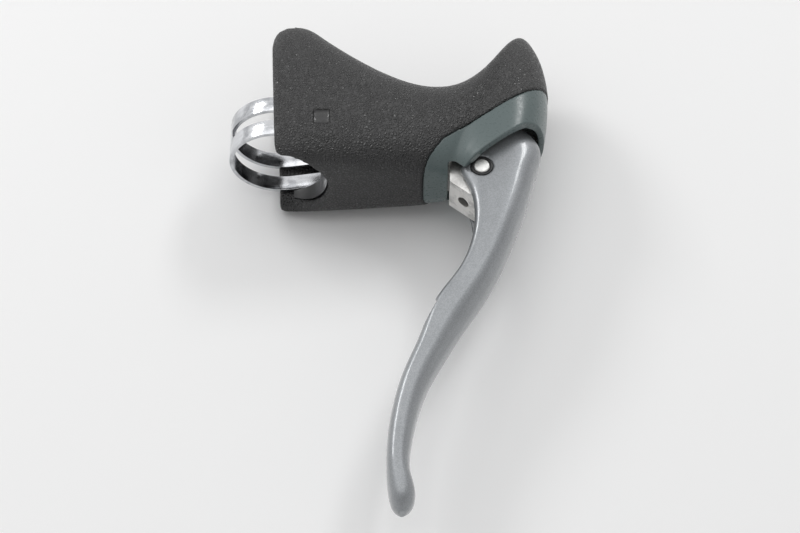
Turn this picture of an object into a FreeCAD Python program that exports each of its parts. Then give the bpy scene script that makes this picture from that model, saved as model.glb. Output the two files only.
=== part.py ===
import FreeCAD
import Part
import math
import os

os.makedirs("parts", exist_ok=True)
V = FreeCAD.Vector

# Frame: the origin is on the handlebar's axis, at the middle of the clamp band.
# +Z runs up along the bar, +X points forward to the hood's nose, Y is the pivot's direction.
# All sizes are in millimetres.

# Driving sizes of the bar clamp
bar_d = 24.0
band_t = 1.0
band_w = 11.5
band_slot = 3.0
bridge_deg = 20.0
wrap_deg = 102.0
bolt_d = 6.0
bolt_reach = 9.4
saddle_t = 3.2

# Driving sizes of the pivot and the lever's travel
pivot_x = 51.2
pivot_z = -12.0
pin_d = 4.1
bush_t = 0.72
lever_half = 8.0
cheek_t = 2.2
anchor_arm = 17.0
anchor_deg = 85.0

# Driving sizes of the shells
hood_wall = 2.6
collar_step = 0.35
housing_d = 5.2
housing_deg = 22.0
body_rear = 3.0
recess = 4.2
recess_x = 11.0
recess_z = -2.3
recess_depth = 0.45

# Clearances
running = 0.04
thread_fit = 0.05
hood_fit = 0.1
bar_gap = 0.4
side_gap = 0.4
swing_gap = 1.0

bar_r = bar_d / 2
pin_r = pin_d / 2
nose_half = lever_half - cheek_t - side_gap
rear_half = bar_r + band_t + hood_wall + hood_fit + 0.2

# Stations of the grip form: top point, bottom point, half width, roundness above and below.
# They lean forward one after another, so that the last ones look along the collar's mouth.
grip = [
    ((-2.6, 28.6), (-0.4, -13.6), rear_half - 0.3, 2.8, 5.0),
    ((-0.8, 32.6), (1.2, -14.0), rear_half, 2.8, 5.0),
    ((3.4, 33.9), (5.2, -14.0), rear_half, 2.8, 5.0),
    ((10.6, 29.2), (12.5, -13.8), rear_half - 0.1, 2.8, 4.6),
    ((20.8, 21.2), (21.0, -13.7), rear_half - 0.5, 2.8, 4.0),
    ((31.4, 15.4), (29.0, -13.6), rear_half - 1.2, 2.7, 3.5),
    ((39.6, 13.7), (34.5, -13.7), rear_half - 1.8, 2.6, 3.2),
    ((46.8, 15.4), (38.0, -13.8), rear_half - 2.2, 2.5, 3.0),
    ((53.4, 20.9), (40.2, -14.0), rear_half - 2.5, 2.4, 3.0),
    ((58.8, 28.2), (41.6, -14.1), rear_half - 2.7, 2.3, 3.0),
    ((63.2, 32.3), (42.6, -14.2), rear_half - 2.9, 2.2, 3.0),
    ((66.4, 28.2), (43.4, -14.3), rear_half - 2.9, 2.2, 3.0),
    ((68.7, 20.0), (44.2, -14.4), rear_half - 2.7, 2.2, 3.0),
    ((69.3, 12.0), (45.0, -14.6), rear_half - 2.6, 2.3, 3.0),
    ((68.7, 4.0), (45.8, -15.0), rear_half - 2.6, 2.3, 3.0),
    ((67.6, -2.6), (46.8, -16.0), rear_half - 2.7, 2.3, 3.0),
]

# Edge between hood and collar, and the collar's mouth, both seen from the side
split_line = [(31.0, -22.0), (37.7, -11.2), (41.6, -6.6), (56.0, 3.4), (72.0, 15.2)]
mouth_line = [(40.0, -18.0), (62.4, -1.7), (65.4, -0.6), (76.0, -0.6)]
mouth_notch_x = 42.8
mouth_notch_top = -9.0
mouth_notch_gap = 0.5
mouth_notch_half = lever_half + mouth_notch_gap

# Stations of the lever: front point, rear point, half width, roundness in front and behind
blade = [
    ((63.0, 1.6), (46.4, -10.4), lever_half, 3.2, 7.0),
    ((66.4, -3.2), (45.7, -12.4), lever_half, 3.2, 7.0),
    ((65.4, -9.6), (47.2, -16.2), lever_half, 3.2, 7.0),
    ((63.4, -16.8), (48.6, -20.6), lever_half, 3.0, 7.0),
    ((60.4, -25.8), (49.0, -27.0), lever_half, 2.8, 7.0),
    ((56.9, -35.0), (47.8, -34.0), 7.8, 2.7, 6.5),
    ((51.3, -46.4), (44.0, -42.3), 7.4, 2.6, 6.0),
    ((46.2, -54.8), (38.9, -49.6), 6.9, 2.5, 5.0),
    ((41.4, -63.2), (34.9, -59.6), 6.5, 2.5, 3.6),
    ((37.7, -70.4), (31.4, -68.0), 6.2, 2.5, 3.0),
    ((35.0, -78.4), (28.9, -77.0), 6.0, 2.5, 2.8),
    ((33.3, -87.2), (27.6, -86.5), 5.9, 2.5, 2.8),
    ((33.2, -94.2), (27.5, -94.0), 5.9, 2.5, 2.8),
    ((34.2, -98.8), (28.0, -99.2), 5.6, 2.4, 2.6),
    ((33.5, -102.0), (29.0, -102.4), 4.4, 2.3, 2.3),
    ((32.0, -103.8), (30.4, -104.0), 1.6, 2.0, 2.0),
]
channel_end = -54.8
front_wall = 2.8
notch_depth = 1.0


def half_curve(a, b, half, n_a, n_b):
    """Half of a soft closed section: from end a round the +Y side to end b, with a roundness for each end."""
    cx, cz = (a[0] + b[0]) / 2, (a[1] + b[1]) / 2
    ax, az = (a[0] - b[0]) / 2, (a[1] - b[1]) / 2
    points, at = [], []
    steps = 20
    for i in range(steps + 1):
        g = math.pi * i / steps
        c, t = math.cos(g), math.sin(g)
        n = n_a if c > 0 else n_b
        k = (abs(c) ** n + abs(t) ** n) ** (-1.0 / n)
        points.append(V(cx + ax * k * c, half * k * t, cz + az * k * c))
        at.append(i / steps)
    points[0].y = 0
    points[-1].y = 0
    curve = Part.BSplineCurve()
    curve.interpolate(Points=points, Parameters=at, InitialTangent=V(0, half, 0), FinalTangent=V(0, -half, 0))
    return curve


def skin(rows):
    """Solid through a row of sections, the same on both sides of the middle plane."""
    curves = [half_curve(*row) for row in rows]
    at = [0.0]
    for one, two in zip(rows, rows[1:]):
        ends = [math.hypot(one[k][0] - two[k][0], one[k][1] - two[k][1]) for k in (0, 1)]
        at.append(at[-1] + sum(ends) / 2)
    lines = []
    for j in range(1, curves[0].NbPoles + 1):
        line = Part.BSplineCurve()
        line.interpolate(Points=[c.getPole(j) for c in curves], Parameters=at)
        lines.append(line)
    first, cross = lines[0], curves[0]
    face = Part.BSplineSurface()
    face.buildFromPolesMultsKnots(
        [line.getPoles() for line in lines],
        cross.getMultiplicities(), first.getMultiplicities(),
        cross.getKnots(), first.getKnots(),
        False, False, cross.Degree, first.Degree,
    )
    side = face.toShape()
    faces = [side, side.mirror(V(0, 0, 0), V(0, 1, 0))]
    for curve in (curves[0], curves[-1]):
        edge = curve.toShape()
        faces.append(Part.Face(Part.Wire([edge, edge.mirror(V(0, 0, 0), V(0, 1, 0))])))
    shell = Part.makeShell(faces)
    shell.sewShape()
    solid = Part.Solid(shell)
    if solid.Volume < 0:
        solid.reverse()
    return solid


def shrink(row, inset, inset_b=None):
    """A section made smaller: by one inset all round, or by another at its second end."""
    a, b, half, n_a, n_b = row
    length = math.hypot(a[0] - b[0], a[1] - b[1])
    ux, uz = (a[0] - b[0]) / length, (a[1] - b[1]) / length
    back = inset if inset_b is None else inset_b
    return (a[0] - ux * inset, a[1] - uz * inset), (b[0] + ux * back, b[1] + uz * back), half - inset, n_a, n_b


def grip_form(inset, rear_more=0.0):
    """The outer form of hood and collar, made smaller by an inset all round."""
    rows = list(grip)
    if rear_more > 0:
        top, low, half, n_top, n_low = rows[0]
        rows.insert(0, ((top[0] - rear_more, top[1]), (low[0] - rear_more, low[1]), half, n_top, n_low))
    return skin([shrink(row, inset) for row in rows])


def plate(points, y0, y1):
    """Flat plate cut to an outline seen from the side, between two Y values."""
    pts = [V(x, y0, z) for x, z in points]
    return Part.Face(Part.makePolygon(pts + [pts[0]])).extrude(V(0, y1 - y0, 0))


def block(x0, x1, y0, y1, z0, z1):
    return Part.makeBox(x1 - x0, y1 - y0, z1 - z0, V(x0, y0, z0))


def rod_y(x, z, r, y0, y1):
    return Part.makeCylinder(r, y1 - y0, V(x, y0, z), V(0, 1, 0))


def rod_x(y, z, r, x0, x1):
    return Part.makeCylinder(r, x1 - x0, V(x0, y, z), V(1, 0, 0))


def below(line, drop=0.0):
    """Everything under a line seen from the side."""
    pts = [(x, z - drop) for x, z in line]
    return plate(pts + [(pts[-1][0], -60), (pts[0][0], -60)], -40, 40)


def hexagon(across):
    r = across / math.sqrt(3)
    pts = [V(0, r * math.cos(math.radians(60 * i)), r * math.sin(math.radians(60 * i))) for i in range(7)]
    return Part.Face(Part.makePolygon(pts))


def save(shape, name):
    shape = shape.removeSplitter()
    solids = shape.Solids
    print(name, "solids", len(solids), "valid", shape.isValid(), "volume", round(shape.Volume, 1))
    if len(solids) == 1:
        shape = solids[0]
    shape.exportStep("parts/" + name + ".step")


# Points that several pieces share
def swing(radius, degrees):
    a = math.radians(degrees)
    return pivot_x + radius * math.cos(a), pivot_z + radius * math.sin(a)


anchor_x, anchor_z = swing(anchor_arm, anchor_deg)
anchor_r = 4.2
journal_r = 2.8
ear_r = journal_r + 1.8
sweep_r = anchor_arm + ear_r + swing_gap
cavity_half = lever_half + 1.2
cavity_x = 43.6

# Nose of the bracket: a boss round the axle with one flat that faces down and back
boss_r = 7.0
flat_dist = 7.3
flat_deg = 231.7
flat_a = math.radians(flat_deg)
flat_n = V(math.cos(flat_a), 0, math.sin(flat_a))

# Clamp hardware along X
band_mid = bar_r + band_t / 2
nut_t = 5.0
nut_front = bar_r + bolt_reach
nut_rear = nut_front - nut_t
pocket_end = nut_front + 3.6
washer_t = 1.0
head_seat = pocket_end + 2.5 + washer_t
head_r = bolt_d * 5 / 6
head_len = bolt_d

# Collar's inner tab and its screw
tab_low = 9.5
tab_top = 11.0
tab_rear = 57.5
tab_half = 4.0
tab_screw_x = 61.5
screw_r = 1.5

# Cable: straight from the anchor to the stop, where the housing bore starts.
# The bore opens into a groove in the saddle, which leads the housing up along the bar.
stop_x = 30.0
stop_z = 9.6
housing_r = housing_d / 2
groove_r = housing_r + bar_gap
groove_x = bar_r + housing_r - 0.2
groove_low = 13.4
h_a = math.radians(180 - housing_deg)
housing_dir = V(math.cos(h_a), 0, math.sin(h_a))


def make_band():
    a = math.radians(180 - wrap_deg)
    tail = (pocket_end - 0.6 - band_mid * math.cos(a)) / math.sin(a)

    def ring_point(r, angle):
        return V(r * math.cos(angle), r * math.sin(angle), -band_w / 2)

    def tail_point(r, sign):
        p = ring_point(r, sign * a)
        return p + V(math.sin(a), -sign * math.cos(a), 0) * tail

    r0, r1 = bar_r, bar_r + band_t
    edges = [
        Part.makeLine(tail_point(r1, 1), ring_point(r1, a)),
        Part.Arc(ring_point(r1, a), ring_point(r1, math.pi), ring_point(r1, -a)).toShape(),
        Part.makeLine(ring_point(r1, -a), tail_point(r1, -1)),
        Part.makeLine(tail_point(r1, -1), tail_point(r0, -1)),
        Part.makeLine(tail_point(r0, -1), ring_point(r0, -a)),
        Part.Arc(ring_point(r0, -a), ring_point(r0, math.pi), ring_point(r0, a)).toShape(),
        Part.makeLine(ring_point(r0, a), tail_point(r0, 1)),
        Part.makeLine(tail_point(r0, 1), tail_point(r1, 1)),
    ]
    band = Part.Face(Part.Wire(edges)).extrude(V(0, 0, band_w))
    slot_start = -(bar_r + band_t) * math.cos(math.radians(bridge_deg))
    slot = block(slot_start, nut_front + thread_fit, -30, 30, -band_slot / 2, band_slot / 2)
    return band.cut(slot)


def band_y(x):
    """Half width between the strap's two tails at a given X."""
    a = math.radians(180 - wrap_deg)
    return bar_r * math.sin(a) - (x - bar_r * math.cos(a)) / math.tan(a)


def make_nut():
    half = band_y(nut_front) - 0.3
    lug = band_y(nut_rear) + band_t + 0.8
    lug_half = band_slot / 2 - 0.15
    body = block(nut_rear, nut_front, -half, half, -4.5, 4.5)
    ears = block(nut_front - 2.8, nut_front, -lug, lug, -lug_half, lug_half)
    bore = rod_x(0, 0, bolt_d / 2 + thread_fit, nut_rear - 1, nut_front + 1)
    return body.fuse(ears).cut(bore)


def make_bolt():
    tip = nut_rear - 0.6
    shank = rod_x(0, 0, bolt_d / 2, tip, head_seat)
    head = rod_x(0, 0, head_r, head_seat, head_seat + head_len)
    head = head.makeChamfer(0.5, [e for e in head.Edges if e.BoundBox.XMin > head_seat + head_len - 0.01])
    key = hexagon(bolt_d * 5 / 6).extrude(V(bolt_d / 2 + 0.1, 0, 0))
    key.translate(V(head_seat + head_len - bolt_d / 2, 0, 0))
    return shank.fuse(head).cut(key)


def make_washer():
    ring = rod_x(0, 0, head_r + 0.4, head_seat - washer_t, head_seat)
    return ring.cut(rod_x(0, 0, bolt_d / 2 + 0.2, head_seat - 2, head_seat + 1))


def make_nose():
    """Web and boss that carry the axle between the lever's cheeks."""
    foot = V(pivot_x, 0, pivot_z) + flat_n * flat_dist
    along = V(-flat_n.z, 0, flat_n.x)
    t0 = (mouth_notch_x + side_gap - foot.x) / along.x
    start = foot + along * t0
    end = foot + along * 5.0
    far = V(end.x - pivot_x, 0, end.z - pivot_z)
    lean = math.degrees(math.atan2(far.z, far.x) + math.acos(boss_r / far.Length))
    tx, tz = swing(boss_r, lean)
    ux, uz = swing(boss_r, 100)
    root_x = cavity_x - 10.6
    root_z = pivot_z + 1.5
    outline = [
        (root_x, root_z + 4.0),
        (root_x, root_z),
        (start.x, root_z),
        (start.x, start.z),
        (end.x, end.z),
        (tx, tz),
        (pivot_x, pivot_z),
        (ux, uz),
    ]
    web = plate(outline, -nose_half, nose_half)
    return web.fuse(rod_y(pivot_x, pivot_z, boss_r, -nose_half, nose_half))


spring_r = 4.0
wire_r = 0.5
spring_y0 = nose_half - 3.5


def make_groove(r):
    foot = V(groove_x, 0, groove_low)
    return Part.makeCylinder(r, 60, foot).fuse(Part.makeSphere(r, foot))


def make_body():
    body = grip_form(hood_wall + hood_fit)
    body = body.cut(block(-20, body_rear, -40, 40, -60, 60))
    body = body.cut(Part.makeCylinder(bar_r, 120, V(0, 0, -60)))
    high = band_w / 2 + bar_gap
    for side in (-1, 1):
        y0, y1 = sorted((side * (band_y(pocket_end) - 0.5), side * 30))
        body = body.cut(block(-5, pocket_end, y0, y1, -high, high))
    body = body.cut(block(bar_r + saddle_t, pocket_end, -10, 10, -high, high))
    body = body.cut(rod_x(0, 0, bolt_d / 2 + 0.3, pocket_end - 1, head_seat))
    body = body.cut(rod_x(0, 0, head_r + 0.7, head_seat - washer_t, cavity_x + 1))
    room = rod_y(pivot_x, pivot_z, sweep_r, -cavity_half, cavity_half)
    room = room.common(block(cavity_x, 90, -40, 40, -60, 60))
    body = body.cut(room)
    body = body.cut(below(mouth_line, -2.0))
    body = body.cut(block(mouth_notch_x - 0.8, 90, -40, 40, -60, mouth_notch_top))
    body = body.fuse(make_nose())
    body = body.cut(rod_y(pivot_x, pivot_z, pin_r + running / 2, -20, 20))
    mid = V(pivot_x, 0, pivot_z)
    body = body.cut(Part.makeCylinder(1.65, flat_dist + 2, mid, flat_n))
    well = rod_y(pivot_x, pivot_z, spring_r + wire_r + 0.8, spring_y0, nose_half + 1)
    front_way = block(pivot_x, pivot_x + 12, spring_y0, nose_half + 1, pivot_z - 20, pivot_z + 2.0)
    rear_way = block(pivot_x - 9.0, pivot_x, spring_y0, nose_half + 1, pivot_z + 2.2, pivot_z + 5.4)
    body = body.cut(well).cut(front_way).cut(rear_way)
    stop = V(stop_x, 0, stop_z)
    body = body.cut(Part.makeCylinder(housing_r, 60, stop, housing_dir))
    body = body.cut(make_groove(groove_r))
    line = V(anchor_x - stop_x, 0, anchor_z - stop_z)
    body = body.cut(Part.makeCylinder(1.2, line.Length, stop - line * 0.02, line))
    body = body.cut(block(tab_rear - 0.3, 75, -tab_half - 0.3, tab_half + 0.3, 0, tab_top))
    body = body.cut(Part.makeCylinder(screw_r + thread_fit, 9.0, V(tab_screw_x, 0, tab_top - 1)))
    return body


def make_shell(inset):
    return grip_form(inset).cut(grip_form(hood_wall, 6.0))


def make_hood():
    hood = make_shell(0.0)
    hood = hood.cut(Part.makeCylinder(bar_r + bar_gap, 120, V(0, 0, -60)))
    hood = hood.cut(make_groove(groove_r + bar_gap))
    high = band_w / 2 + bar_gap
    hood = hood.cut(Part.makeCylinder(bar_r + band_t + bar_gap, 2 * high, V(0, 0, -high)))
    hood = hood.cut(below(split_line))
    half = recess / 2
    pad = block(recess_x - half, recess_x + half, -20, 20, recess_z - half, recess_z + half)
    return hood.cut(pad.cut(grip_form(recess_depth)))


def make_collar():
    collar = make_shell(collar_step)
    collar = collar.common(below(split_line)).cut(below(mouth_line))
    notch = block(mouth_notch_x, 90, -mouth_notch_half, mouth_notch_half, -40, mouth_notch_top)
    collar = collar.cut(notch)
    tab = block(tab_rear, 75.0, -tab_half, tab_half, tab_low, tab_top)
    tab = tab.common(grip_form(hood_wall - 0.8))
    collar = collar.fuse(tab)
    return collar.cut(Part.makeCylinder(screw_r + 0.2, 8, V(tab_screw_x, 0, tab_low - 2)))


def make_collar_screw():
    shank = Part.makeCylinder(screw_r, 8.0 + tab_top - tab_low, V(tab_screw_x, 0, tab_low))
    head = Part.makeCylinder(2.6, 1.4, V(tab_screw_x, 0, tab_low - 1.4))
    cross = block(tab_screw_x - 1.7, tab_screw_x + 1.7, -0.3, 0.3, tab_low - 2, tab_low - 0.7)
    turned = cross.copy()
    turned.rotate(V(tab_screw_x, 0, 0), V(0, 0, 1), 90)
    return shank.fuse(head).cut(cross).cut(turned)


def make_lever():
    inner = lever_half - cheek_t
    rows = []
    channel = [row for row in blade if row[0][1] > channel_end - 0.1]
    for row in channel:
        front, rear, half, n_front, n_rear = shrink(row, front_wall, -4.0)
        rows.append((front, rear, row[2] - cheek_t, 3.6, 8.0))
    lever = skin(blade).cut(skin(rows))
    ear_out = lever_half - 0.6
    ear_line = [
        (pivot_x - 3.6, pivot_z + 1.0),
        (anchor_x - ear_r, anchor_z),
        (anchor_x + ear_r, anchor_z),
        (pivot_x + 7.8, pivot_z + 10.0),
        (pivot_x + 6.8, pivot_z + 5.0),
    ]
    for side in (-1, 1):
        y0, y1 = sorted((side * (inner + 0.2), side * ear_out))
        ear = plate(ear_line, y0, y1).fuse(rod_y(anchor_x, anchor_z, ear_r, y0, y1))
        lever = lever.fuse(ear)
    lever = lever.cut(rod_y(anchor_x, anchor_z, journal_r + running, -20, 20))
    lever = lever.cut(rod_y(pivot_x, pivot_z, pin_r + running + bush_t + running / 2, -20, 20))
    above, under = channel[-1][1], blade[len(channel)][1]
    top = V(above[0], 0, above[1])
    low = V(under[0], 0, under[1])
    down = (low - top).normalize()
    fore = V(-down.z, 0, down.x)
    corners = [top + fore * notch_depth, low, low - fore * 4, top - fore * 4]
    return lever.cut(plate([(c.x, c.z) for c in corners], -20, 20))


def make_pin():
    half = lever_half + 0.1
    pin = rod_y(pivot_x, pivot_z, pin_r, -half, half)
    return pin.makeChamfer(0.3, [e for e in pin.Edges if e.Closed])


def make_bush(side):
    y0, y1 = sorted((side * (lever_half - cheek_t), side * lever_half))
    bush = rod_y(pivot_x, pivot_z, pin_r + running + bush_t, y0, y1)
    return bush.cut(rod_y(pivot_x, pivot_z, pin_r + running, y0 - 1, y1 + 1))


def make_grub_screw():
    mid = V(pivot_x, 0, pivot_z)
    length = 3.2
    screw = Part.makeCylinder(1.6, length, mid + flat_n * pin_r, flat_n)
    key = hexagon(2.0).extrude(V(1.6, 0, 0))
    key.rotate(V(0, 0, 0), V(0, 1, 0), -flat_deg)
    key.translate(mid + flat_n * (pin_r + length - 1.5))
    return screw.cut(key)


def make_anchor():
    core_half = lever_half - cheek_t - 0.3
    anchor = rod_y(anchor_x, anchor_z, anchor_r, -core_half, core_half)
    anchor = anchor.fuse(rod_y(anchor_x, anchor_z, journal_r, -lever_half + 0.6, lever_half - 0.6))
    line = V(stop_x - anchor_x, 0, stop_z - anchor_z).normalize()
    mid = V(anchor_x, 0, anchor_z)
    anchor = anchor.cut(Part.makeCylinder(1.0, 12, mid - line * 6, line))
    return anchor.cut(Part.makeCylinder(2.5, 8, mid, line * -1))


def tube(path, r, sides):
    """Closed tube of flat facets along a path that stays close to the side plane."""
    rings = []
    for i, p in enumerate(path):
        along = (path[min(i + 1, len(path) - 1)] - path[max(i - 1, 0)]).normalize()
        flat = along.cross(V(0, 1, 0)).normalize()
        rise = flat.cross(along)
        turn = [2 * math.pi * k / sides for k in range(sides)]
        rings.append([p + flat * (r * math.cos(t)) + rise * (r * math.sin(t)) for t in turn])
    faces = []
    for one, two in zip(rings, rings[1:]):
        for k in range(sides):
            m = (k + 1) % sides
            for corner in ((one[k], one[m], two[m]), (one[k], two[m], two[k])):
                faces.append(Part.Face(Part.makePolygon(list(corner) + [corner[0]])))
    for ring in (rings[0], rings[-1]):
        faces.append(Part.Face(Part.makePolygon(ring + [ring[0]])))
    shell = Part.makeShell(faces)
    shell.sewShape()
    solid = Part.Solid(shell)
    if solid.Volume < 0:
        solid.reverse()
    return solid


def make_spring():
    """Coil round the axle, with one leg held by the bracket and one that presses on the lever."""
    turns = 2.2
    pitch = 1.1
    start = 100.0
    steps = 44
    fixed_leg = 5.0
    press_leg = 7.0
    y0 = spring_y0 + wire_r + 0.15
    path = []
    for i in range(steps + 1):
        x, z = swing(spring_r, start - 360 * turns * i / steps)
        path.append(V(x, y0 + pitch * turns * i / steps, z))
    a, b = math.radians(start), math.radians(start - 360 * turns)
    path.insert(0, path[0] + V(-math.sin(a), 0, math.cos(a)) * fixed_leg)
    path.append(path[-1] + V(math.sin(b), 0, -math.cos(b)) * press_leg)
    return tube(path, wire_r, 8)


save(make_band(), "clamp_band")
save(make_nut(), "clamp_nut")
save(make_bolt(), "clamp_bolt")
save(make_washer(), "bolt_washer")
save(make_body(), "bracket_body")
save(make_hood(), "rubber_hood")
save(make_collar(), "front_collar")
save(make_collar_screw(), "collar_screw")
save(make_lever(), "lever_blade")
save(make_pin(), "pivot_pin")
save(make_bush(-1), "pivot_bush_near")
save(make_bush(1), "pivot_bush_far")
save(make_grub_screw(), "pivot_grub_screw")
save(make_anchor(), "cable_anchor")
save(make_spring(), "return_spring")
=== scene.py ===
import math

import bpy
import numpy as np
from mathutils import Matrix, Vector
from mathutils.bvhtree import BVHTree


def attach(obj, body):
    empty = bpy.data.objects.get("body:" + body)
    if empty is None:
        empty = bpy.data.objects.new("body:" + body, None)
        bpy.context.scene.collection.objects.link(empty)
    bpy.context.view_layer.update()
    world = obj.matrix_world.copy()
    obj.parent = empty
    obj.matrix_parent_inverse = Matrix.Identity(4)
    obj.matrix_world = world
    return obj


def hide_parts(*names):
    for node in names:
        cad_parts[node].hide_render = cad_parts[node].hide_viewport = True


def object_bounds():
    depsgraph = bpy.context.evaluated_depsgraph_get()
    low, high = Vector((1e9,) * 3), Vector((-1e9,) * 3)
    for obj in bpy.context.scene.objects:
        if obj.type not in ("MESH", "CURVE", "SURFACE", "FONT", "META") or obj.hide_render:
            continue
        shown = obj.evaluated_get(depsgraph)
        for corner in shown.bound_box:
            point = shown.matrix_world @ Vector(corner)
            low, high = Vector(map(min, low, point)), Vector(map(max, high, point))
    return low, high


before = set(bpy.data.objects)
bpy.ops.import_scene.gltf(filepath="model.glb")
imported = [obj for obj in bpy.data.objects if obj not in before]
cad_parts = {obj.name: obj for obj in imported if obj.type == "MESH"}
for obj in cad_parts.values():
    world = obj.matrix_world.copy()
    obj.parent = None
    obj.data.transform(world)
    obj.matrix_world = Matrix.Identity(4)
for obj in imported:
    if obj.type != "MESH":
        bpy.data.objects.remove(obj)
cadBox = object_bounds()
mm = 0.001
weldWithin = 0.002 * mm
print("frame loaded:", len(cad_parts), "nodes")


# Small helpers for objects

def pickOnly(obj):
    if bpy.context.mode != "OBJECT":
        bpy.ops.object.mode_set(mode="OBJECT")
    bpy.ops.object.select_all(action="DESELECT")
    obj.select_set(True)
    bpy.context.view_layer.objects.active = obj


def copyNode(node, name):
    pickOnly(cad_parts[node])
    bpy.ops.object.duplicate()
    piece = bpy.context.active_object
    piece.parent = None
    for key in list(piece.keys()):
        del piece[key]
    piece.name = name
    piece.data.name = name
    piece.data.materials.clear()
    bpy.ops.mesh.customdata_custom_splitnormals_clear()
    bpy.ops.object.mode_set(mode="EDIT")
    bpy.ops.mesh.select_all(action="SELECT")
    bpy.ops.mesh.remove_doubles(threshold=weldWithin)
    bpy.ops.object.mode_set(mode="OBJECT")
    return piece


def useModifier(piece, kind, **values):
    pickOnly(piece)
    bpy.ops.object.modifier_add(type=kind)
    mod = piece.modifiers[-1]
    for key, value in values.items():
        setattr(mod, key, value)
    bpy.ops.object.modifier_apply(modifier=mod.name)


def finishPiece(piece, node, body, material):
    piece.data.materials.clear()
    piece.data.materials.append(material)
    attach(piece, body)
    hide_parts(node)
    triangles = sum(len(p.vertices) - 2 for p in piece.data.polygons)
    print(piece.name, "stands for", node, "with", triangles, "triangles")


# Smooth guide forms: the hood's and the lever's sections, as in the solids

gripSections = [
    # top x, top z, low x, low z, half width, roundness above and below, in mm
    (-2.6, 28.6, -0.4, -13.6, 15.6, 2.8, 5.0),
    (-0.8, 32.6, 1.2, -14.0, 15.9, 2.8, 5.0),
    (3.4, 33.9, 5.2, -14.0, 15.9, 2.8, 5.0),
    (10.6, 29.2, 12.5, -13.8, 15.8, 2.8, 4.6),
    (20.8, 21.2, 21.0, -13.7, 15.4, 2.8, 4.0),
    (31.4, 15.4, 29.0, -13.6, 14.7, 2.7, 3.5),
    (39.6, 13.7, 34.5, -13.7, 14.1, 2.6, 3.2),
    (46.8, 15.4, 38.0, -13.8, 13.7, 2.5, 3.0),
    (53.4, 20.9, 40.2, -14.0, 13.4, 2.4, 3.0),
    (58.8, 28.2, 41.6, -14.1, 13.2, 2.3, 3.0),
    (63.2, 32.3, 42.6, -14.2, 13.0, 2.2, 3.0),
    (66.4, 28.2, 43.4, -14.3, 13.0, 2.2, 3.0),
    (68.7, 20.0, 44.2, -14.4, 13.2, 2.2, 3.0),
    (69.3, 12.0, 45.0, -14.6, 13.3, 2.3, 3.0),
    (68.7, 4.0, 45.8, -15.0, 13.3, 2.3, 3.0),
    (67.6, -2.6, 46.8, -16.0, 13.2, 2.3, 3.0),
]

bladeSections = [
    # front x, front z, rear x, rear z, half width, roundness in front and behind, in mm
    (63.0, 1.6, 46.4, -10.4, 8.0, 3.2, 7.0),
    (66.4, -3.2, 45.7, -12.4, 8.0, 3.2, 7.0),
    (65.4, -9.6, 47.2, -16.2, 8.0, 3.2, 7.0),
    (63.4, -16.8, 48.6, -20.6, 8.0, 3.0, 7.0),
    (60.4, -25.8, 49.0, -27.0, 8.0, 2.8, 7.0),
    (56.9, -35.0, 47.8, -34.0, 7.8, 2.7, 6.5),
    (51.3, -46.4, 44.0, -42.3, 7.4, 2.6, 6.0),
    (46.2, -54.8, 38.9, -49.6, 6.9, 2.5, 5.0),
    (41.4, -63.2, 34.9, -59.6, 6.5, 2.5, 3.6),
    (37.7, -70.4, 31.4, -68.0, 6.2, 2.5, 3.0),
    (35.0, -78.4, 28.9, -77.0, 6.0, 2.5, 2.8),
    (33.3, -87.2, 27.6, -86.5, 5.9, 2.5, 2.8),
    (33.2, -94.2, 27.5, -94.0, 5.9, 2.5, 2.8),
    (34.2, -98.8, 28.0, -99.2, 5.6, 2.4, 2.6),
    (33.5, -102.0, 29.0, -102.4, 4.4, 2.3, 2.3),
    (32.0, -103.8, 30.4, -104.0, 1.6, 2.0, 2.0),
]


def splineRows(sections, perSpan):
    # natural cubic spline through the sections, spaced by how far their ends move
    rows = np.array(sections, float)
    ends = np.hypot(np.diff(rows[:, 0]), np.diff(rows[:, 1]))
    ends = (ends + np.hypot(np.diff(rows[:, 2]), np.diff(rows[:, 3]))) / 2
    at = np.concatenate([[0.0], np.cumsum(ends)])
    count = len(rows)
    matrix = np.eye(count)
    right = np.zeros_like(rows)
    for i in range(1, count - 1):
        before, after = ends[i - 1], ends[i]
        matrix[i, i - 1:i + 2] = before, 2 * (before + after), after
        right[i] = 6 * ((rows[i + 1] - rows[i]) / after - (rows[i] - rows[i - 1]) / before)
    bend = np.linalg.solve(matrix, right)
    dense = []
    for i in range(count - 1):
        h = ends[i]
        for t in np.linspace(at[i], at[i + 1], perSpan, endpoint=False):
            a, b = at[i + 1] - t, t - at[i]
            part = bend[i] * a ** 3 / (6 * h) + bend[i + 1] * b ** 3 / (6 * h)
            part = part + (rows[i] / h - bend[i] * h / 6) * a
            part = part + (rows[i + 1] / h - bend[i + 1] * h / 6) * b
            dense.append(part)
    dense.append(rows[-1])
    return np.array(dense)


def guideForm(sections, inset=0.0, perSpan=14, around=160):
    rows = splineRows(sections, perSpan)
    turn = np.linspace(0, 2 * math.pi, around, endpoint=False)
    c, s = np.cos(turn), np.sin(turn)
    points = []
    for ax, az, bx, bz, half, nA, nB in rows:
        length = math.hypot(ax - bx, az - bz)
        ux, uz = (ax - bx) / length, (az - bz) / length
        reach = length / 2 - inset
        power = np.where(c > 0, nA, nB)
        k = (np.abs(c) ** power + np.abs(s) ** power) ** (-1.0 / power)
        x = (ax + bx) / 2 + ux * reach * k * c
        z = (az + bz) / 2 + uz * reach * k * c
        points.append(np.stack([x, (half - inset) * k * s, z], 1))
    verts = np.concatenate(points) * mm
    faces = []
    for i in range(len(rows) - 1):
        for j in range(around):
            m = (j + 1) % around
            faces.append((i * around + j, i * around + m, (i + 1) * around + m, (i + 1) * around + j))
    return BVHTree.FromPolygons([Vector(v) for v in verts], faces)


def softStep(value, low, high):
    t = min(max((value - low) / (high - low), 0.0), 1.0)
    return t * t * (3 - 2 * t)


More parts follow.
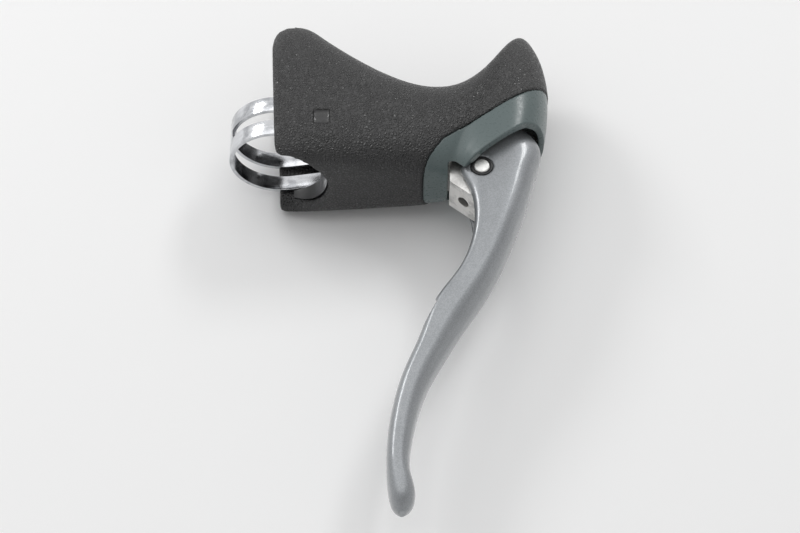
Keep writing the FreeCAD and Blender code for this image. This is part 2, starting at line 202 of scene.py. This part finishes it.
def readPoints(mesh, field):
    values = np.empty(len(mesh.vertices) * 3)
    mesh.vertices.foreach_get(field, values)
    return values.reshape(-1, 3)


settlePlan = {"along": (0.86, 0.97), "fullWithin": 0.5}


def restOnForm(piece, form, reach):
    # skin points that lie on the guide form settle on it exactly; rims and inner walls stay
    points = readPoints(piece.data, "co")
    facing = readPoints(piece.data, "normal")
    for i, point in enumerate(points):
        place, normal, _, away = form.find_nearest(point, reach)
        if place is None:
            continue
        along = abs(float(np.dot(facing[i], normal)))
        weight = softStep(along, *settlePlan["along"])
        weight *= 1 - softStep(away, settlePlan["fullWithin"] * reach, reach)
        points[i] += weight * (np.array(place) - point)
    piece.data.vertices.foreach_set("co", points.ravel())
    piece.data.update()


collarStep = 0.35
gripForm = guideForm(gripSections)
collarForm = guideForm(gripSections, inset=collarStep)
bladeForm = guideForm(bladeSections)
print("guide forms ready")


# Node helpers

def makeNode(tree, kind, place=(0, 0), **values):
    node = tree.nodes.new(kind)
    node.location = place
    for key, value in values.items():
        if key in node.inputs:
            node.inputs[key].default_value = value
        else:
            setattr(node, key, value)
    return node


def join(tree, start, end):
    tree.links.new(start, end)


def startGroup(name, inputs, outputs):
    group = bpy.data.node_groups.new(name, "ShaderNodeTree")
    for label, kind, value in inputs:
        socket = group.interface.new_socket(label, in_out="INPUT", socket_type=kind)
        if value is not None:
            socket.default_value = value
    for label, kind in outputs:
        group.interface.new_socket(label, in_out="OUTPUT", socket_type=kind)
    inside = group.nodes.new("NodeGroupInput")
    outside = group.nodes.new("NodeGroupOutput")
    inside.location = (-900, 0)
    outside.location = (900, 0)
    return group, inside, outside


def placeGroup(tree, group, **values):
    node = tree.nodes.new("ShaderNodeGroup")
    node.node_tree = group
    for key, value in values.items():
        node.inputs[key].default_value = value
    return node


def mathNode(tree, operation, first, second, clamp=False):
    node = makeNode(tree, "ShaderNodeMath", operation=operation, use_clamp=clamp)
    for socket, value in zip(node.inputs, (first, second)):
        if hasattr(value, "is_linked"):
            join(tree, value, socket)
        else:
            socket.default_value = value
    return node.outputs[0]


def rangeNode(tree, value, low, high, toLow, toHigh):
    node = makeNode(tree, "ShaderNodeMapRange")
    node.inputs["From Min"].default_value = low
    node.inputs["From Max"].default_value = high
    node.inputs["To Min"].default_value = toLow
    node.inputs["To Max"].default_value = toHigh
    join(tree, value, node.inputs["Value"])
    return node.outputs["Result"]


def mixColour(tree, mask, first, second):
    node = makeNode(tree, "ShaderNodeMix", data_type="RGBA")
    join(tree, mask, node.inputs[0])
    for socket, value in ((node.inputs[6], first), (node.inputs[7], second)):
        if hasattr(value, "is_linked"):
            join(tree, value, socket)
        else:
            socket.default_value = (*value, 1)
    return node.outputs[2]


def startMaterial(name, **sockets):
    material = bpy.data.materials.new(name)
    material.use_nodes = True
    tree = material.node_tree
    shader = tree.nodes["Principled BSDF"]
    for key, value in sockets.items():
        shader.inputs[key.replace("_", " ")].default_value = value
    coords = makeNode(tree, "ShaderNodeTexCoord", (-1200, 0)).outputs["Object"]
    return material, tree, shader, coords


# Shared effects

noiseSpan = (0.3, 0.7)
grainShape = {"noiseShare": 0.45, "detail": 2.0, "dome": 0.34, "tall": (0.55, 1.0), "creaseShade": 0.12}


def buildGrain():
    # rounded pebbles with creases between them, a slow change of their height, and a crease mask that the
    # rubber uses for painted shade
    group, inside, outside = startGroup(
        "pebbleGrain",
        [
            ("Vector", "NodeSocketVector", None),
            ("Cells", "NodeSocketFloat", 1200.0),
            ("Drift", "NodeSocketFloat", 0.4),
        ],
        [("Height", "NodeSocketFloat"), ("CreaseShade", "NodeSocketFloat")],
    )
    noise = makeNode(group, "ShaderNodeTexNoise", Detail=grainShape["detail"])
    slow = mathNode(group, "MULTIPLY", inside.outputs["Cells"], grainShape["noiseShare"])
    join(group, slow, noise.inputs["Scale"])
    join(group, inside.outputs["Vector"], noise.inputs["Vector"])
    shift = makeNode(group, "ShaderNodeVectorMath", operation="SCALE")
    join(group, noise.outputs["Color"], shift.inputs[0])
    drift = mathNode(group, "DIVIDE", inside.outputs["Drift"], inside.outputs["Cells"])
    join(group, drift, shift.inputs["Scale"])
    moved = makeNode(group, "ShaderNodeVectorMath", operation="ADD")
    join(group, inside.outputs["Vector"], moved.inputs[0])
    join(group, shift.outputs[0], moved.inputs[1])
    cells = makeNode(group, "ShaderNodeTexVoronoi", feature="DISTANCE_TO_EDGE")
    join(group, moved.outputs[0], cells.inputs["Vector"])
    join(group, inside.outputs["Cells"], cells.inputs["Scale"])
    dome = makeNode(group, "ShaderNodeMapRange", interpolation_type="SMOOTHERSTEP")
    dome.inputs["From Max"].default_value = grainShape["dome"]
    join(group, cells.outputs["Distance"], dome.inputs["Value"])
    tall = rangeNode(group, noise.outputs["Fac"], *noiseSpan, *grainShape["tall"])
    height = mathNode(group, "MULTIPLY", dome.outputs["Result"], tall)
    join(group, height, outside.inputs["Height"])
    creaseShade = rangeNode(group, cells.outputs["Distance"], 0.0, grainShape["creaseShade"], 1.0, 0.0)
    join(group, creaseShade, outside.inputs["CreaseShade"])
    return group


patchShape = {
    "detail": 5.0,
    "rough": 0.6,
    "start": 0.36,
    "end": 0.62,
    "hardShare": 0.1,
    "fineDetail": 3.0,
    "fineScale": 14.0,
}


def buildPatches():
    # slow uneven patches of dust and handling, between 0 and 1
    group, inside, outside = startGroup(
        "slowPatches",
        [
            ("Vector", "NodeSocketVector", None),
            ("Size", "NodeSocketFloat", 60.0),
            ("Hardness", "NodeSocketFloat", 0.5),
        ],
        [("Mask", "NodeSocketFloat"), ("Fine", "NodeSocketFloat")],
    )
    noise = makeNode(
        group, "ShaderNodeTexNoise", Detail=patchShape["detail"], Roughness=patchShape["rough"],
    )
    join(group, inside.outputs["Vector"], noise.inputs["Vector"])
    join(group, inside.outputs["Size"], noise.inputs["Scale"])
    harder = mathNode(group, "MULTIPLY", inside.outputs["Hardness"], patchShape["hardShare"])
    span = mathNode(group, "SUBTRACT", patchShape["end"], harder)
    mask = makeNode(group, "ShaderNodeMapRange", interpolation_type="SMOOTHSTEP")
    mask.inputs["From Min"].default_value = patchShape["start"]
    join(group, span, mask.inputs["From Max"])
    join(group, noise.outputs["Fac"], mask.inputs["Value"])
    join(group, mask.outputs["Result"], outside.inputs["Mask"])
    fine = makeNode(group, "ShaderNodeTexNoise", Detail=patchShape["fineDetail"])
    join(group, inside.outputs["Vector"], fine.inputs["Vector"])
    fineScale = mathNode(group, "MULTIPLY", inside.outputs["Size"], patchShape["fineScale"])
    join(group, fineScale, fine.inputs["Scale"])
    join(group, fine.outputs["Fac"], outside.inputs["Fine"])
    return group


strokeShape = {
    "detail": 4.0,
    "rough": 0.65,
    "thinScale": 0.35,
    "thinDetail": 1.0,
    "scratch": (0.66, 0.72),
}


def buildStrokes():
    # fine tool marks that run along one direction, made by stretching noise
    group, inside, outside = startGroup(
        "toolStrokes",
        [
            ("Vector", "NodeSocketVector", None),
            ("Across", "NodeSocketVector", (2400.0, 2400.0, 60.0)),
        ],
        [("Lines", "NodeSocketFloat"), ("Scratch", "NodeSocketFloat")],
    )
    stretch = makeNode(group, "ShaderNodeVectorMath", operation="MULTIPLY")
    join(group, inside.outputs["Vector"], stretch.inputs[0])
    join(group, inside.outputs["Across"], stretch.inputs[1])
    lines = makeNode(
        group, "ShaderNodeTexNoise", Scale=1.0, Detail=strokeShape["detail"], Roughness=strokeShape["rough"],
    )
    join(group, stretch.outputs[0], lines.inputs["Vector"])
    join(group, lines.outputs["Fac"], outside.inputs["Lines"])
    thin = makeNode(
        group, "ShaderNodeTexNoise", Scale=strokeShape["thinScale"], Detail=strokeShape["thinDetail"],
    )
    join(group, stretch.outputs[0], thin.inputs["Vector"])
    scratch = rangeNode(group, thin.outputs["Fac"], *strokeShape["scratch"], 0.0, 1.0)
    join(group, scratch, outside.inputs["Scratch"])
    return group


grainGroup = buildGrain()
patchGroup = buildPatches()
strokeGroup = buildStrokes()
print("shared effects ready")


# Materials

def placeAt(tree, coords, group, **values):
    # a shared effect that reads the piece's own coordinates
    node = placeGroup(tree, group, **values)
    join(tree, coords, node.inputs["Vector"])
    return node


def raiseSurface(tree, shader, height, strength, depth):
    bump = makeNode(tree, "ShaderNodeBump", Strength=strength, Distance=depth)
    join(tree, height, bump.inputs["Height"])
    join(tree, bump.outputs["Normal"], shader.inputs["Normal"])


rubberLook = {
    "deep": (0.006, 0.006, 0.0065),
    "worn": (0.013, 0.013, 0.0135),
    "creaseShade": (0.004, 0.004, 0.004),
    "creaseShadeShare": 0.7,
    "specular": 0.7,
    "cells": 1300.0,
    "drift": 0.5,
    "grainDepth": 0.27 * mm,
    "patchSize": 75.0,
    "patchHardness": 0.2,
    "heightSpan": (0.2, 0.8),
    "rough": (0.23, 0.52),
    "dust": (-0.05, 0.08),
    "smoothBelow": (-13.5 * mm, -12.3 * mm),
    "smoothShare": 0.2,
    "pad": {
        "x": 11.0 * mm,
        "z": -2.3 * mm,
        "half": 2.1 * mm,
        "line": 0.3 * mm,
        "soft": 0.1 * mm,
        "colour": (0.012, 0.012, 0.0125),
        "rimShadeColour": (0.002, 0.002, 0.002),
        "lineRough": 0.4,
    },
}


def padMask(tree, coords, half):
    # 1 inside the square pad of each side of the hood, 0 outside
    pad = rubberLook["pad"]
    split = makeNode(tree, "ShaderNodeSeparateXYZ")
    join(tree, coords, split.inputs[0])
    away = []
    for axis, middle in (("X", pad["x"]), ("Z", pad["z"])):
        offset = mathNode(tree, "SUBTRACT", split.outputs[axis], middle)
        away.append(mathNode(tree, "ABSOLUTE", offset, 0.0))
    return rangeNode(tree, mathNode(tree, "MAXIMUM", *away), half, half + pad["soft"], 1.0, 0.0)


def rubberMaterial():
    look, pad = rubberLook, rubberLook["pad"]
    material, tree, shader, coords = startMaterial("grainedRubber", Specular_IOR_Level=look["specular"])
    grain = placeAt(tree, coords, grainGroup, Cells=look["cells"], Drift=look["drift"])
    patch = placeAt(tree, coords, patchGroup, Size=look["patchSize"], Hardness=look["patchHardness"])
    inside = padMask(tree, coords, pad["half"] - pad["line"])
    rim = mathNode(tree, "SUBTRACT", padMask(tree, coords, pad["half"]), inside, clamp=True)
    colour = mixColour(tree, patch.outputs["Mask"], look["deep"], look["worn"])
    # painted shade: the grain's creases are darkened in colour, standing in for the shade inside them
    creaseShade = mathNode(tree, "MULTIPLY", grain.outputs["CreaseShade"], look["creaseShadeShare"])
    creaseShaded = mixColour(tree, creaseShade, colour, look["creaseShade"])
    padded = mixColour(tree, inside, creaseShaded, pad["colour"])
    # painted shade: a very dark line along the inner edge of the square recess, standing in for the shade of
    # its step
    join(tree, mixColour(tree, rim, padded, pad["rimShadeColour"]), shader.inputs["Base Color"])
    low, high = look["rough"]
    rough = rangeNode(tree, grain.outputs["Height"], *look["heightSpan"], high, low)
    dusty = mathNode(tree, "ADD", rough, rangeNode(tree, patch.outputs["Fine"], *noiseSpan, *look["dust"]))
    lined = mathNode(tree, "MULTIPLY", rim, pad["lineRough"])
    join(tree, mathNode(tree, "ADD", dusty, lined), shader.inputs["Roughness"])
    plain = mathNode(tree, "SUBTRACT", 1.0, mathNode(tree, "MAXIMUM", inside, rim))
    split = makeNode(tree, "ShaderNodeSeparateXYZ")
    join(tree, coords, split.inputs[0])
    upper = rangeNode(tree, split.outputs["Z"], *look["smoothBelow"], look["smoothShare"], 1.0)
    shown = mathNode(tree, "MULTIPLY", mathNode(tree, "MULTIPLY", grain.outputs["Height"], plain), upper)
    raiseSurface(tree, shader, shown, 1.0, look["grainDepth"])
    return material


collarLook = {
    "base": (0.098, 0.128, 0.128),
    "paler": 1.08,
    "rubbedAndSheen": (0.14, 0.17, 0.168),
    "rubbedSheenEdge": (0.52, 0.62),
    "specular": 0.5,
    "rough": (0.24, 0.36),
    "patchSize": 95.0,
    "patchHardness": 0.4,
    "peelCells": 900.0,
    "peelDrift": 1.4,
    "peelStrength": 0.04,
    "peelDepth": 0.04 * mm,
}


def collarMaterial():
    look = collarLook
    material, tree, shader, coords = startMaterial("collarPlastic", Specular_IOR_Level=look["specular"])
    patch = placeAt(tree, coords, patchGroup, Size=look["patchSize"], Hardness=look["patchHardness"])
    peel = placeAt(tree, coords, grainGroup, Cells=look["peelCells"], Drift=look["peelDrift"])
    # sharp convex edges turn paler: partly rubbed wear, partly a painted highlight along the rims
    edge = makeNode(tree, "ShaderNodeNewGeometry").outputs["Pointiness"]
    sharp = rangeNode(tree, edge, *look["rubbedSheenEdge"], 0.0, 1.0)
    worn = mathNode(tree, "MULTIPLY", sharp, patch.outputs["Fine"])
    paler = tuple(c * look["paler"] for c in look["base"])
    colour = mixColour(tree, patch.outputs["Mask"], look["base"], paler)
    join(tree, mixColour(tree, worn, colour, look["rubbedAndSheen"]), shader.inputs["Base Color"])
    rough = rangeNode(tree, patch.outputs["Fine"], *noiseSpan, *look["rough"])
    join(tree, rough, shader.inputs["Roughness"])
    raiseSurface(tree, shader, peel.outputs["Height"], look["peelStrength"], look["peelDepth"])
    return material


paintLook = {
    "dark": (0.17, 0.18, 0.19),
    "bright": (0.34, 0.355, 0.37),
    "metallic": 0.62,
    "coat": {"weight": 0.8, "rough": 0.1, "ior": 1.5},
    "flakes": 5200.0,
    "glitter": (0.3, 0.7),
    "uneven": (-0.06, 0.06),
    "rough": (0.4, 0.52),
    "patchSize": 110.0,
    "patchHardness": 0.3,
    "peelCells": 420.0,
    "peelDrift": 1.6,
    "peelStrength": 0.05,
    "peelDepth": 0.05 * mm,
}


def paintMaterial():
    look, coat = paintLook, paintLook["coat"]
    material, tree, shader, coords = startMaterial(
        "leverPaint", Metallic=look["metallic"], Coat_Weight=coat["weight"],
        Coat_Roughness=coat["rough"], Coat_IOR=coat["ior"],
    )
    flakes = makeNode(tree, "ShaderNodeTexVoronoi", feature="F1", Scale=look["flakes"])
    join(tree, coords, flakes.inputs["Vector"])
    split = makeNode(tree, "ShaderNodeSeparateColor")
    join(tree, flakes.outputs["Color"], split.inputs[0])
    patch = placeAt(tree, coords, patchGroup, Size=look["patchSize"], Hardness=look["patchHardness"])
    glitter = rangeNode(tree, split.outputs[0], 0.0, 1.0, *look["glitter"])
    uneven = rangeNode(tree, patch.outputs["Mask"], 0, 1, *look["uneven"])
    tone = mathNode(tree, "ADD", glitter, uneven, clamp=True)
    join(tree, mixColour(tree, tone, look["dark"], look["bright"]), shader.inputs["Base Color"])
    join(tree, rangeNode(tree, split.outputs[1], 0.0, 1.0, *look["rough"]), shader.inputs["Roughness"])
    peel = placeAt(tree, coords, grainGroup, Cells=look["peelCells"], Drift=look["peelDrift"])
    raiseSurface(tree, shader, peel.outputs["Height"], look["peelStrength"], look["peelDepth"])
    return material


metalShape = {"hardness": 0.5, "lineTone": (0.6, 1.0), "scratchRough": 0.08, "bump": 0.3}
metalLooks = {
    "chromePlate": {
        "low": (0.42, 0.43, 0.45),
        "high": (0.7, 0.71, 0.73),
        "rough": (0.09, 0.24),
        "across": (260.0, 260.0, 1500.0),
        "depth": 0.05 * mm,
        "patchSize": 260.0,
    },
    "pinAluminium": {
        "low": (0.68, 0.68, 0.67),
        "high": (0.84, 0.84, 0.82),
        "rough": (0.46, 0.6),
        "across": (900.0, 60.0, 900.0),
        "depth": 0.01 * mm,
        "patchSize": 500.0,
    },
    "zincSteel": {
        "low": (0.42, 0.43, 0.44),
        "high": (0.58, 0.59, 0.6),
        "rough": (0.25, 0.4),
        "across": (80.0, 1600.0, 1600.0),
        "depth": 0.008 * mm,
        "patchSize": 300.0,
    },
    "blackenedSteel": {
        "low": (0.018, 0.017, 0.016),
        "high": (0.05, 0.045, 0.04),
        "rough": (0.35, 0.5),
        "across": (900.0, 900.0, 900.0),
        "depth": 0.01 * mm,
        "patchSize": 400.0,
    },
    "springWire": {
        "low": (0.3, 0.3, 0.31),
        "high": (0.45, 0.45, 0.46),
        "rough": (0.25, 0.4),
        "across": (600.0, 2600.0, 600.0),
        "depth": 0.006 * mm,
        "patchSize": 300.0,
    },
}


def metalMaterial(name):
    look = metalLooks[name]
    material, tree, shader, coords = startMaterial(name, Metallic=1.0)
    strokes = placeAt(tree, coords, strokeGroup, Across=look["across"])
    patch = placeAt(tree, coords, patchGroup, Size=look["patchSize"], Hardness=metalShape["hardness"])
    lined = rangeNode(tree, strokes.outputs["Lines"], *noiseSpan, *metalShape["lineTone"])
    tone = mathNode(tree, "MULTIPLY", patch.outputs["Mask"], lined)
    join(tree, mixColour(tree, tone, look["low"], look["high"]), shader.inputs["Base Color"])
    grit = rangeNode(tree, strokes.outputs["Lines"], *noiseSpan, *look["rough"])
    scratched = mathNode(tree, "MULTIPLY", strokes.outputs["Scratch"], metalShape["scratchRough"])
    join(tree, mathNode(tree, "ADD", grit, scratched), shader.inputs["Roughness"])
    raiseSurface(tree, shader, strokes.outputs["Lines"], metalShape["bump"], look["depth"])
    return material


bodyLook = {
    "bareFrom": 42.6 * mm,
    "bareSoft": 0.2 * mm,
    "coat": (0.012, 0.012, 0.013),
    "bareLow": (0.58, 0.575, 0.56),
    "bareHigh": (0.9, 0.89, 0.87),
    "rough": (0.36, 0.52),
    "across": (700.0, 160.0, 3000.0),
    "patchSize": 260.0,
    "patchHardness": 0.4,
    "bump": 0.35,
    "depth": 0.03 * mm,
}


def bodyMaterial():
    # dark everywhere but the nose, which is bare machined metal
    look = bodyLook
    material, tree, shader, coords = startMaterial("bracketCasting")
    split = makeNode(tree, "ShaderNodeSeparateXYZ")
    join(tree, coords, split.inputs[0])
    start = look["bareFrom"]
    bare = rangeNode(tree, split.outputs["X"], start, start + look["bareSoft"], 0.0, 1.0)
    strokes = placeAt(tree, coords, strokeGroup, Across=look["across"])
    patch = placeAt(tree, coords, patchGroup, Size=look["patchSize"], Hardness=look["patchHardness"])
    metal = mixColour(tree, patch.outputs["Mask"], look["bareLow"], look["bareHigh"])
    # outside the nose the body takes the dark colour listed as coat
    join(tree, mixColour(tree, bare, look["coat"], metal), shader.inputs["Base Color"])
    join(tree, bare, shader.inputs["Metallic"])
    rough = rangeNode(tree, strokes.outputs["Lines"], *noiseSpan, *look["rough"])
    join(tree, rough, shader.inputs["Roughness"])
    raiseSurface(tree, shader, strokes.outputs["Lines"], look["bump"], look["depth"])
    return material


bushLook = {
    "deep": (0.008, 0.008, 0.009),
    "worn": (0.02, 0.02, 0.021),
    "specular": 0.4,
    "rough": (0.35, 0.5),
    "patchSize": 400.0,
    "patchHardness": 0.4,
}


def bushMaterial():
    look = bushLook
    material, tree, shader, coords = startMaterial("bushPlastic", Specular_IOR_Level=look["specular"])
    patch = placeAt(tree, coords, patchGroup, Size=look["patchSize"], Hardness=look["patchHardness"])
    colour = mixColour(tree, patch.outputs["Mask"], look["deep"], look["worn"])
    join(tree, colour, shader.inputs["Base Color"])
    rough = rangeNode(tree, patch.outputs["Fine"], *noiseSpan, *look["rough"])
    join(tree, rough, shader.inputs["Roughness"])
    return material


rubber = rubberMaterial()
collarPlastic = collarMaterial()
leverPaint = paintMaterial()
casting = bodyMaterial()
bushBlack = bushMaterial()
chrome = metalMaterial("chromePlate")
pinMetal = metalMaterial("pinAluminium")
zincSteel = metalMaterial("zincSteel")
darkSteel = metalMaterial("blackenedSteel")
springSteel = metalMaterial("springWire")
print("materials ready")


# Hood: a moulded rubber skin with soft rims

hoodPlan = {
    "voxel": 0.40 * mm,
    "smooth": 0.5,
    "rounds": 5,
    "reach": 0.35 * mm,
    "search": 3 * mm,
    "outerWithin": 0.05 * mm,
    "innerBeyond": 1.2 * mm,
    "pebble": 1.5 * mm,
    "pebbleRise": 0.035 * mm,
    "keptShare": 0.72,
    "innerFactor": 10.0,
    "passage": 12.4 * mm,
    "rimReach": 1.3 * mm,
    "rimRounds": 22,
}


def rimPoints(piece):
    # points near the thin edge where the bar's passage breaks through the skin
    near = []
    for i, point in enumerate(readPoints(piece.data, "co")):
        if abs(math.hypot(point[0], point[1]) - hoodPlan["passage"]) > hoodPlan["rimReach"]:
            continue
        if gripForm.find_nearest(point, hoodPlan["rimReach"])[0] is not None:
            near.append(i)
    return near


def skinPoints(piece):
    # points on the hood's outer skin, and points well inside it
    outer, inner = [], []
    for i, point in enumerate(readPoints(piece.data, "co")):
        place, _, _, away = gripForm.find_nearest(point, hoodPlan["search"])
        if place is not None and away < hoodPlan["outerWithin"]:
            outer.append(i)
        elif place is None or away > hoodPlan["innerBeyond"]:
            inner.append(i)
    return outer, inner


def markPoints(piece, name, points):
    piece.vertex_groups.new(name=name).add(points, 1.0, "REPLACE")


def makeHood():
    plan = hoodPlan
    piece = copyNode("rubber_hood", "hood_skin")
    useModifier(piece, "REMESH", mode="VOXEL", voxel_size=plan["voxel"], use_smooth_shade=True)
    useModifier(piece, "SMOOTH", factor=plan["smooth"], iterations=plan["rounds"])
    restOnForm(piece, gripForm, plan["reach"])
    outer, inner = skinPoints(piece)
    markPoints(piece, "outer", outer)
    markPoints(piece, "inner", inner)
    pebble = bpy.data.textures.new("hoodPebble", "CLOUDS")
    pebble.noise_scale = plan["pebble"]
    pebble.noise_depth = 1
    useModifier(
        piece, "DISPLACE", texture=pebble, texture_coords="LOCAL", strength=plan["pebbleRise"],
        mid_level=0.5, vertex_group="outer",
    )
    useModifier(
        piece, "DECIMATE", ratio=plan["keptShare"], vertex_group="inner",
        vertex_group_factor=plan["innerFactor"],
    )
    markPoints(piece, "rim", rimPoints(piece))
    useModifier(
        piece, "SMOOTH", factor=plan["smooth"], iterations=plan["rimRounds"], vertex_group="rim",
    )
    pickOnly(piece)
    bpy.ops.object.shade_smooth()
    piece.vertex_groups.clear()
    finishPiece(piece, "rubber_hood", "bracket", rubber)


makeHood()


# Collar and lever: moulded and painted skins over the solids

skinPlan = {"smooth": 0.5, "rounds": 4, "reach": 0.3 * mm}


def makeSkin(node, name, form, voxel, body, material):
    piece = copyNode(node, name)
    useModifier(piece, "REMESH", mode="VOXEL", voxel_size=voxel, use_smooth_shade=True)
    useModifier(piece, "SMOOTH", factor=skinPlan["smooth"], iterations=skinPlan["rounds"])
    restOnForm(piece, form, skinPlan["reach"])
    pickOnly(piece)
    bpy.ops.object.shade_smooth()
    finishPiece(piece, node, body, material)


collarPlan = {"voxel": 0.26 * mm}
leverPlan = {"voxel": 0.30 * mm}
makeSkin("front_collar", "collar_shell", collarForm, collarPlan["voxel"],
         "bracket", collarPlastic)
makeSkin("lever_blade", "lever_skin", bladeForm, leverPlan["voxel"],
         "lever", leverPaint)


# Hard parts: the solids with their edges broken

hardPlan = {"flatWithin": math.radians(0.4), "edgeOver": math.radians(38), "smoothUnder": math.radians(32)}


def makeHard(node, name, edge, segments, body, material):
    piece = copyNode(node, name)
    bpy.ops.object.mode_set(mode="EDIT")
    bpy.ops.mesh.select_all(action="SELECT")
    bpy.ops.mesh.dissolve_limited(angle_limit=hardPlan["flatWithin"])
    bpy.ops.object.mode_set(mode="OBJECT")
    useModifier(
        piece, "BEVEL", width=edge, segments=segments, limit_method="ANGLE",
        angle_limit=hardPlan["edgeOver"], use_clamp_overlap=True, harden_normals=False,
    )
    pickOnly(piece)
    bpy.ops.object.shade_smooth_by_angle(angle=hardPlan["smoothUnder"])
    finishPiece(piece, node, body, material)


hardPieces = [
    # node, piece, edge in mm, segments, body, slot, material
    ("clamp_band", "clamp_strap", 0.16, 3, "bracket", "chrome_strap", chrome),
    ("clamp_nut", "clamp_nut_block", 0.25, 2, "bracket", "zinc_steel", zincSteel),
    ("clamp_bolt", "clamp_bolt_turned", 0.15, 2, "bracket", "zinc_steel", zincSteel),
    ("bolt_washer", "bolt_washer_ring", 0.15, 2, "bracket", "zinc_steel", zincSteel),
    ("bracket_body", "bracket_casting", 0.2, 2, "bracket", "bare_aluminium", casting),
    ("collar_screw", "collar_screw_turned", 0.1, 2, "bracket", "zinc_steel", zincSteel),
    ("pivot_pin", "pivot_pin_turned", 0.1, 2, "bracket", "pin_aluminium", pinMetal),
    ("pivot_bush_near", "bush_ring_near", 0.12, 2, "lever", "bush_plastic", bushBlack),
    ("pivot_bush_far", "bush_ring_far", 0.12, 2, "lever", "bush_plastic", bushBlack),
    ("pivot_grub_screw", "grub_screw_turned", 0.1, 2, "bracket", "dark_steel", darkSteel),
    ("cable_anchor", "cable_anchor_turned", 0.15, 2, "anchor", "zinc_steel", zincSteel),
    ("return_spring", "return_spring_wire", 0.05, 1, "bracket", "spring_steel", springSteel),
]
for node, name, edge, segments, body, slot, material in hardPieces:
    makeHard(node, name, edge * mm, segments, body, material)


# Stage: the pale table that the part lies against, one-sided so that it hides nothing from behind

stagePlan = {
    "size": 6.0,
    "middle": (0.03, cadBox[1][1] + 0.1 * mm, -0.03),
    "turn": (math.radians(90), 0, 0),
    "colour": (0.95, 0.95, 0.95),
    "rough": 0.6,
    "specular": 0.2,
}


def makeStage():
    plan = stagePlan
    bpy.ops.object.select_all(action="DESELECT")
    bpy.ops.mesh.primitive_plane_add(size=plan["size"], location=plan["middle"], rotation=plan["turn"])
    table = bpy.context.active_object
    table.name = "pale_table"
    material = bpy.data.materials.new("paleTable")
    material.use_nodes = True
    tree = material.node_tree
    shader = tree.nodes["Principled BSDF"]
    shader.inputs["Base Color"].default_value = (*plan["colour"], 1)
    shader.inputs["Roughness"].default_value = plan["rough"]
    shader.inputs["Specular IOR Level"].default_value = plan["specular"]
    clear = makeNode(tree, "ShaderNodeBsdfTransparent")
    mix = makeNode(tree, "ShaderNodeMixShader")
    path = makeNode(tree, "ShaderNodeLightPath")
    side = makeNode(tree, "ShaderNodeNewGeometry")
    hidden = mathNode(tree, "MAXIMUM", side.outputs["Backfacing"], path.outputs["Is Shadow Ray"])
    join(tree, hidden, mix.inputs[0])
    join(tree, shader.outputs[0], mix.inputs[1])
    join(tree, clear.outputs[0], mix.inputs[2])
    join(tree, mix.outputs[0], tree.nodes["Material Output"].inputs["Surface"])
    table.data.materials.append(material)


makeStage()


# Light and camera

def makeLamp(name, place, aim, size, power):
    data = bpy.data.lights.new(name, "AREA")
    data.shape = "RECTANGLE"
    data.size, data.size_y = size
    data.energy = power
    lamp = bpy.data.objects.new(name, data)
    bpy.context.scene.collection.objects.link(lamp)
    lamp.location = place
    lamp.rotation_mode = "QUATERNION"
    lamp.rotation_quaternion = (Vector(aim) - Vector(place)).to_track_quat("-Z", "Y")


lampPlan = {
    "front": {"place": (-0.15, -1.1, 0.12), "size": (1.2, 1.0), "power": 3.3},
    "leftStrip": {"place": (-0.66, -0.55, 0.52), "size": (0.26, 0.34), "power": 2.7},
    "rightStrip": {"place": (0.47, -0.66, 0.58), "size": (0.18, 0.3), "power": 1.8},
    "rear": {"place": (0.1, 0.9, 0.45), "size": (0.8, 0.6), "power": 2.6},
}
aimPoint = (0.03, 0, -0.03)
for lampName, lamp in lampPlan.items():
    makeLamp(lampName, lamp["place"], aimPoint, lamp["size"], lamp["power"])

worldPlan = {"shown": (0.5, 0.93), "fill": 0.46, "brightSide": (-0.3, -0.4, 0.86)}


def makeWorld():
    # a pale room, brighter towards its lit side; the even fill lights the part
    world = bpy.data.worlds.new("paleRoom")
    bpy.context.scene.world = world
    world.use_nodes = True
    tree = world.node_tree
    back = tree.nodes["Background"]
    path = makeNode(tree, "ShaderNodeLightPath")
    seen = mathNode(tree, "MAXIMUM", path.outputs["Is Camera Ray"], path.outputs["Is Transmission Ray"])
    seen = mathNode(tree, "MAXIMUM", seen, path.outputs["Is Glossy Ray"])
    lean = makeNode(tree, "ShaderNodeVectorMath", operation="DOT_PRODUCT")
    join(tree, makeNode(tree, "ShaderNodeTexCoord").outputs["Generated"], lean.inputs[0])
    lean.inputs[1].default_value = worldPlan["brightSide"]
    shade = rangeNode(tree, lean.outputs["Value"], -1.0, 1.0, *worldPlan["shown"])
    join(tree, mixColour(tree, seen, (worldPlan["fill"],) * 3, shade), back.inputs["Color"])


makeWorld()

cameraPlan = {
    "place": (0.03067, -0.4074, -0.2915),
    "tilt": 122.0,
    "lens": 87.3,
    "sensor": 36.0,
    "nearest": 0.01,
}


def makeCamera():
    data = bpy.data.cameras.new("photoCamera")
    data.lens = cameraPlan["lens"]
    data.sensor_width = cameraPlan["sensor"]
    data.clip_start = cameraPlan["nearest"]
    camera = bpy.data.objects.new("photoCamera", data)
    bpy.context.scene.collection.objects.link(camera)
    camera.location = cameraPlan["place"]
    camera.rotation_euler = (math.radians(cameraPlan["tilt"]), 0, 0)
    bpy.context.scene.camera = camera


makeCamera()
bpy.context.scene.view_settings.view_transform = "Standard"
print("stage, light and camera ready")
